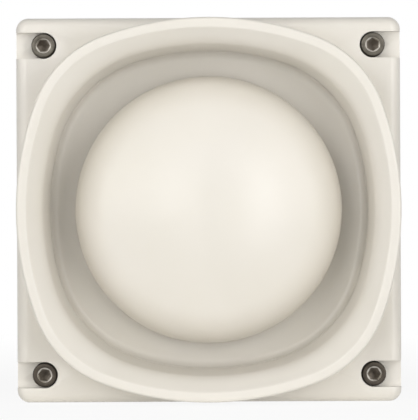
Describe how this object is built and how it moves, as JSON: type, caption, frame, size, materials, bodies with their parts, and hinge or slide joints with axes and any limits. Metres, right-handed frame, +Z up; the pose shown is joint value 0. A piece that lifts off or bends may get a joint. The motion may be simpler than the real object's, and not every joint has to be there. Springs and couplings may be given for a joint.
{
  "type": "outdoor fire alarm siren",
  "caption": "Square weatherproof wall siren with a folded horn: a rounded-square mouth round a plain dome, over a box with its driver, board and tone switches.",
  "frame": {"origin": "centre of the flat back face that lies against the wall", "axes": "+Z up, +X to the right as seen from in front, -Y out of the wall towards the listener"},
  "size_m": [0.132, 0.095, 0.132],
  "materials": {
    "housing_plastic": "moulded off-white ABS, satin",
    "stainless_steel": "turned stainless steel, knurled head",
    "zinc_steel": "zinc-plated steel",
    "brass": "turned or folded brass",
    "seal_rubber": "soft black rubber",
    "ferrite": "sintered ferrite, ground faces",
    "phenolic_film": "pressed phenolic film",
    "copper_wire": "enamelled copper wire",
    "black_moulding": "black moulded plastic",
    "board_laminate": "green solder mask on glass laminate",
    "terminal_green": "green moulded polyamide",
    "switch_red": "red moulded switch body",
    "lever_white": "white moulded lever",
    "control_blue": "blue moulded trimmer body",
    "capacitor_sleeve": "shrunk film sleeve over an aluminium can",
    "component_body": "black epoxy with tinned ends",
    "wire_red": "red PVC insulation",
    "wire_black": "black PVC insulation",
    "connector_white": "natural polyamide"
  },
  "bodies": {
    "housing": {"back_box": "housing_plastic", "board_screws": "zinc_steel", "chip_capacitors": "component_body", "chip_resistors": "component_body", "circuit_board": "board_laminate", "controller_chip": "component_body", "cover_gasket": "seal_rubber", "cover_screws": "stainless_steel", "diaphragm": "phenolic_film", "dome_screws": "zinc_steel", "driver_back_cover": "black_moulding", "driver_gasket": "seal_rubber", "driver_lead_black": "wire_black", "driver_lead_red": "wire_red", "driver_screws": "zinc_steel", "driver_tags": "brass", "horn_cover": "housing_plastic", "horn_dome": "housing_plastic", "horn_floor": "housing_plastic", "inductor_core": "ferrite", "inductor_winding": "copper_wire", "lead_plug": "connector_white", "lead_socket": "connector_white", "magnet_ring": "ferrite", "output_transistor": "component_body", "pole_yoke": "zinc_steel", "rear_entry_grommet": "seal_rubber", "rectifier": "component_body", "screw_seals": "seal_rubber", "smoothing_capacitors": "capacitor_sleeve", "terminal_block": "terminal_green", "terminal_clamps": "brass", "terminal_screws": "zinc_steel", "threaded_inserts": "brass", "throat_plate": "black_moulding", "throat_tube": "housing_plastic", "tone_switch_body": "switch_red", "top_plate": "zinc_steel", "volume_control_body": "control_blue"},
    "lever_1": {"tone_lever_1": "lever_white"},
    "lever_2": {"tone_lever_2": "lever_white"},
    "lever_3": {"tone_lever_3": "lever_white"},
    "lever_4": {"tone_lever_4": "lever_white"},
    "lever_5": {"tone_lever_5": "lever_white"},
    "rotor": {"volume_rotor": "lever_white"},
    "coil": {"voice_coil": "copper_wire"}
  },
  "joints": [
    {"name": "tone_lever_1_slide", "type": "slide", "parent": "housing", "child": "lever_1", "axis": [1, 0, 0], "range_m": [0, 0.0016]},
    {"name": "tone_lever_2_slide", "type": "slide", "parent": "housing", "child": "lever_2", "axis": [1, 0, 0], "range_m": [0, 0.0016]},
    {"name": "tone_lever_3_slide", "type": "slide", "parent": "housing", "child": "lever_3", "axis": [1, 0, 0], "range_m": [0, 0.0016]},
    {"name": "tone_lever_4_slide", "type": "slide", "parent": "housing", "child": "lever_4", "axis": [1, 0, 0], "range_m": [0, 0.0016]},
    {"name": "tone_lever_5_slide", "type": "slide", "parent": "housing", "child": "lever_5", "axis": [1, 0, 0], "range_m": [0, 0.0016]},
    {"name": "volume_turn", "type": "hinge", "parent": "housing", "child": "rotor", "pos_m": [0.033, -0.0146, 0.008], "axis": [0, -1, 0], "range_deg": [-135, 135]},
    {"name": "coil_stroke", "type": "slide", "parent": "housing", "child": "coil", "axis": [0, -1, 0], "range_m": [-0.0003, 0.0003], "stiffness_N_per_m": 1000, "deforming": ["diaphragm"]}
  ]
}
